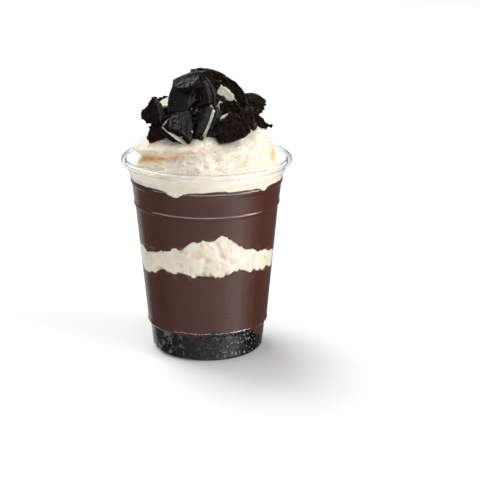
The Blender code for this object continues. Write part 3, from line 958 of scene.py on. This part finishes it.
# %% Making the wafers
FEWEST_ON_RIM = 4
cookie_nodes = [n for n in sorted(frame["nodes"]) if n.startswith("cookie_")]
wafer_nodes = [n for n in cookie_nodes if not n.endswith("_filling")]
total = 0
for seed, node in enumerate(wafer_nodes):
    kind = node.replace("cookie_", "")
    width = WIDE_BORDER if kind == "ridged" else BORDER
    count, faces = make_wafer(node, "broken_wafer_" + kind, 20 + 5 * seed, kind in CRUMBLED, width)
    total += faces
    if count < FEWEST_ON_RIM:
        print("rim of", node, "found by only", count, "corners")
print("wafers:", len(wafer_nodes), "with", total, "faces")

# %% [markdown]
# ### Filling
#
# The filling is firm and tears when a cookie breaks. A remeshed copy of each solid gets torn,
# lumpy sides and a faintly uneven face.


# %% Tearing the filling
def tear_filling(node, name, seed):
    """A finely meshed copy of one filling with torn sides. Returns its number of faces."""
    obj = merged_copy(node, name)
    way = flat_direction(obj)
    modify(obj, "REMESH", mode="VOXEL", voxel_size=VOXEL, use_smooth_shade=True)
    places = corners_of(obj)
    facing = directions_of(obj)
    side = 1 - soft_step(np.abs(facing @ way), 0.3, 0.8)
    torn = 0.5 * lumps(places, 2.2 * MM, seed, 3) * side + 0.12 * lumps(places, 1.2 * MM, seed + 1)
    move_corners(obj, places + facing * torn[:, None] * MM)
    deliver(obj, FILLING, "filling", node)
    return len(obj.data.polygons)


filling_nodes = [n for n in cookie_nodes if n.endswith("_filling")]
total = 0
for seed, node in enumerate(filling_nodes):
    total += tear_filling(node, node.replace("cookie_", "torn_"), 300 + 3 * seed)
print("fillings:", len(filling_nodes), "with", total, "faces")

# %% [markdown]
# ## Loose crumbs
#
# Breaking the cookies leaves crumbs. Larger ones lie in the gaps between the pieces, and fine ones
# have rolled down the cream. A few crumbs are modelled from small balls whose corners are pushed
# about. Each copy is turned, sized and set down by a ray that drops onto the cream, and all copies
# are one mesh, made from one list of corners. Bits of filling stick to the broken pieces too.

# %% The shape of a crumb
CRUMB_SHAPES = 6


def crumb_shape(seed, detail):
    """Corners and faces of one crumb about 1 across."""
    mesh = bmesh.new()
    bmesh.ops.create_icosphere(mesh, subdivisions=detail, radius=0.5)
    for corner in mesh.verts:
        corner.co *= 1 + 0.5 * noise.noise(corner.co * 3.1 + Vector((seed, 0, 0)))
    corners = [v.co.copy() for v in mesh.verts]
    faces = [[v.index for v in f.verts] for f in mesh.faces]
    mesh.free()
    return corners, faces


def random_turn():
    """A turn about all three axes."""
    return Euler([random.uniform(0, 2 * math.pi) for _ in range(3)]).to_matrix()


def scatter(name, finish, slot, places, detail):
    """One mesh of crumbs at places: (centre, size)."""
    shapes = [crumb_shape(seed, detail) for seed in range(CRUMB_SHAPES)]
    corners = []
    faces = []
    for number, (centre, size) in enumerate(places):
        shape, sides = shapes[number % len(shapes)]
        turn = random_turn() @ Matrix.Diagonal((1.0, random.uniform(0.6, 1), random.uniform(0.5, 0.9)))
        start = len(corners)
        corners += [centre + turn @ corner * size for corner in shape]
        faces += [[start + k for k in side] for side in sides]
    data = bpy.data.meshes.new(name)
    data.from_pydata(corners, [], faces)
    obj = bpy.data.objects.new(name, data)
    bpy.context.scene.collection.objects.link(obj)
    deliver(obj, finish, slot)
    print(name, len(places), "pieces,", len(data.polygons), "faces")


# %% Dropping crumbs on the cream
random.seed(4)
cream_tree = BVHTree.FromObject(swirl, bpy.context.evaluated_depsgraph_get())
DOWN = Vector((0, 0, -1))
WELL_ABOVE = 200


def dropped(count, inner, outer, sizes, sink):
    """Places on the cream between two distances from the axis, in mm, as (centre, size)."""
    found = []
    while len(found) < count:
        turn = random.uniform(-math.pi, math.pi)
        away = math.sqrt(random.uniform(inner**2, outer**2))
        size = random.uniform(*sizes) * MM
        start = Vector((math.sin(turn) * away, -math.cos(turn) * away, WELL_ABOVE)) * MM
        hit = cream_tree.ray_cast(start, DOWN)[0]
        if hit:
            found.append((hit + Vector((0, 0, size * sink)), size))
    return found


scatter("gap_crumbs", WAFER, "wafer", dropped(260, 0, 27, (1.6, 4.6), 0.3), 3)
scatter("fine_crumbs", WAFER, "wafer", dropped(46, 22, 35.0, (0.3, 0.9), 0.2), 2)

# %% Filling that stuck to the broken pieces
FACES_FRONT = -0.2
wafer_objects = [o for o in bpy.data.objects if o.name.startswith("broken_wafer_")]


def stuck(count, sizes):
    """Places on the broken wafers, at corners that face the front."""
    found = []
    while len(found) < count:
        obj = random.choice(wafer_objects)
        corner = random.choice(obj.data.vertices)
        if corner.normal.y < FACES_FRONT:
            size = random.uniform(*sizes) * MM
            found.append((corner.co.copy(), size))
    return found


scatter("filling_bits", FILLING, "filling", stuck(16, (0.3, 1.3)), 2)

# %% [markdown]
# ## Floor
#
# A pale floor catches the soft shadow. It isn't part of the object. The
# wall of the cup leans outwards, so from above it mirrors whatever is below it, which is the floor.
# A white floor would lay a grey veil over the dark pudding. So glossy rays pass through the floor,
# as if the cup stood on a small raised table, and they meet the cards round the set instead.

# %% Making the floor
bpy.ops.object.select_all(action="DESELECT")
bpy.ops.mesh.primitive_plane_add(size=16.0, location=(0, 3.0, 0))
floor = bpy.context.active_object
floor.name = "floor"
floor.visible_glossy = False
paper = bpy.data.materials.new("white_paper")
paper.use_nodes = True
paper_shader = paper.node_tree.nodes["Principled BSDF"]
paper_shader.inputs["Base Color"].default_value = (0.90, 0.905, 0.90, 1)
paper_shader.inputs["Roughness"].default_value = 0.9
paper_shader.inputs["Specular IOR Level"].default_value = 0.0
floor.data.materials.append(paper)

# %% [markdown]
# ## Light
#
# The set is a bright, soft studio. A large key from behind on the left throws the shadow to the
# front right, a wide soft box on the right lights that side of the food, and a weak fill stands in
# front. The world is plain and grey for all but mirrored light. What a surface mirrors is a ring of
# soft cards, brightest at the front right and dark at both sides, so the cup gets dark edges and one
# upright highlight. The cards are weaker above the horizon, and a bright tube runs round the room a
# third of the way up. Only the small rings of the cup slope enough to mirror the tube, so each ring
# shows as a fine line. The key and the top box aren't mirrored at all, because their shine would lay
# a grey veil over the black cookies.

# %% The world, and the ring of cards: degrees from the front towards the right, and strength
PLAIN_LIGHT = 0.17
BASE_ABOVE = 0.04
SHARE_ABOVE = 0.6
TUBE_HEIGHT = 0.52
TUBE_WIDTH = 0.14
TUBE_LIGHT = 4.5
HORIZON = -0.05
CARD_RING = [
    (-180, 0.35),
    (-150, 0.55),
    (-128, 0.16),
    (-95, 0.12),
    (-50, 0.45),
    (0, 0.70),
    (25, 0.95),
    (48, 1.5),
    (60, 1.5),
    (72, 0.85),
    (88, 0.30),
    (105, 0.05),
    (150, 0.10),
    (180, 0.35),
]


def maths(tree, operation, *given):
    """One Math node. Each thing given is a number or a socket."""
    node = tree.nodes.new("ShaderNodeMath")
    node.operation = operation
    for socket, value in zip(node.inputs, given):
        if isinstance(value, (int, float)):
            socket.default_value = value
        else:
            tree.links.new(value, socket)
    return node.outputs[0]


def choose(tree, share, first, second):
    """The first value where the share is 0, and the second where it is 1."""
    mix = tree.nodes.new("ShaderNodeMix")
    tree.links.new(share, mix.inputs["Factor"])
    for socket, value in ((mix.inputs["A"], first), (mix.inputs["B"], second)):
        if isinstance(value, float):
            socket.default_value = value
        else:
            tree.links.new(value, socket)
    return mix.outputs["Result"]


def card_light(tree, x, y):
    """The strength of the ring of cards in the direction x, y."""
    angle = maths(tree, "ARCTAN2", x, maths(tree, "MULTIPLY", y, -1.0))
    share = maths(tree, "ADD", maths(tree, "DIVIDE", angle, 2 * math.pi), 0.5)
    ring = tree.nodes.new("ShaderNodeValToRGB")
    ring.color_ramp.interpolation = "EASE"
    stops = ring.color_ramp.elements
    while len(stops) < len(CARD_RING):
        stops.new(0.5)
    brightest = max(strength for _, strength in CARD_RING)
    for stop, (degrees, strength) in zip(stops, CARD_RING):
        stop.position = (degrees + 180) / 360
        stop.color = (*[strength / brightest] * 3, 1)
    tree.links.new(share, ring.inputs[0])
    return maths(tree, "MULTIPLY", ring.outputs[0], brightest)


def build_world():
    """Plain light for all rays but mirrored ones, which see the cards and the tube."""
    world = bpy.data.worlds.new("studio")
    world.use_nodes = True
    tree = world.node_tree
    way = tree.nodes.new("ShaderNodeSeparateXYZ")
    tree.links.new(tree.nodes.new("ShaderNodeTexCoord").outputs["Generated"], way.inputs[0])
    x, y, z = way.outputs
    cards = card_light(tree, x, y)
    tube = maths(tree, "COMPARE", z, TUBE_HEIGHT, TUBE_WIDTH)
    weak_cards = maths(tree, "ADD", maths(tree, "MULTIPLY", cards, SHARE_ABOVE), BASE_ABOVE)
    above = maths(tree, "ADD", weak_cards, maths(tree, "MULTIPLY", tube, TUBE_LIGHT))
    seen = choose(tree, maths(tree, "LESS_THAN", z, HORIZON), above, cards)
    path = tree.nodes.new("ShaderNodeLightPath")
    not_passed = maths(tree, "LESS_THAN", path.outputs["Is Transmission Ray"], 0.5)
    mirrored = maths(tree, "MULTIPLY", path.outputs["Is Glossy Ray"], not_passed)
    background = tree.nodes["Background"]
    background.inputs["Color"].default_value = (1, 1, 1, 1)
    tree.links.new(choose(tree, mirrored, PLAIN_LIGHT, seen), background.inputs["Strength"])
    return world


bpy.context.scene.world = build_world()
print("world nodes:", len(bpy.context.scene.world.node_tree.nodes))


# %% Soft boxes
LIGHT_AIM = Vector((0, 0, 0.08))


def soft_box(name, azimuth, elevation, distance, size, power, mirrored=True):
    """A soft box at an angle from the front towards the right, and at a height angle."""
    a = math.radians(azimuth)
    e = math.radians(elevation)
    away = Vector((math.sin(a) * math.cos(e), -math.cos(a) * math.cos(e), math.sin(e)))
    light = bpy.data.lights.new(name, "AREA")
    light.shape = "RECTANGLE"
    light.size, light.size_y = size
    light.energy = power
    obj = bpy.data.objects.new(name, light)
    obj.location = LIGHT_AIM + away * distance
    obj.rotation_mode = "QUATERNION"
    obj.rotation_quaternion = (-away).to_track_quat("-Z", "Y")
    obj.visible_glossy = mirrored
    bpy.context.scene.collection.objects.link(obj)


soft_box("key", -145, 57, 3.0, (1.9, 1.9), 72, mirrored=False)
soft_box("right_box", 66, 20, 2.8, (2.0, 1.2), 60)
soft_box("top_box", -70, 74, 2.8, (1.6, 1.6), 22, mirrored=False)
soft_box("front_fill", 12, 32, 2.6, (1.4, 0.8), 7)

# %% [markdown]
# ## Camera
#
# The camera looks down a little from the front, through a long lens, so the cup keeps its true
# taper. It is turned up and a little to the right from the middle of the cup's foot, which leaves
# room for the shadow.

# %% Placing the camera
CAMERA_DISTANCE = 0.8
CAMERA_ELEVATION = 20.93
LENS_LENGTH = 107.3
PAN_RIGHT = 0.0230
TILT_UP = 0.0711
e = math.radians(CAMERA_ELEVATION)
forward = Vector((0, math.cos(e), -math.sin(e)))
upward = Vector((0, math.sin(e), math.cos(e)))
lens = bpy.data.cameras.new("camera")
lens.lens = LENS_LENGTH
camera = bpy.data.objects.new("camera", lens)
camera.location = forward * -CAMERA_DISTANCE
camera.rotation_mode = "QUATERNION"
view = forward + Vector((PAN_RIGHT, 0, 0)) + upward * TILT_UP
camera.rotation_quaternion = view.to_track_quat("-Z", "Y")
bpy.context.scene.collection.objects.link(camera)
bpy.context.scene.camera = camera
bpy.context.scene.view_settings.view_transform = "Standard"
print("camera at", [round(v, 3) for v in camera.location])

# %% [markdown]
#
# Last, the view layer is updated.

# %% Updating the view layer
bpy.context.view_layer.update()
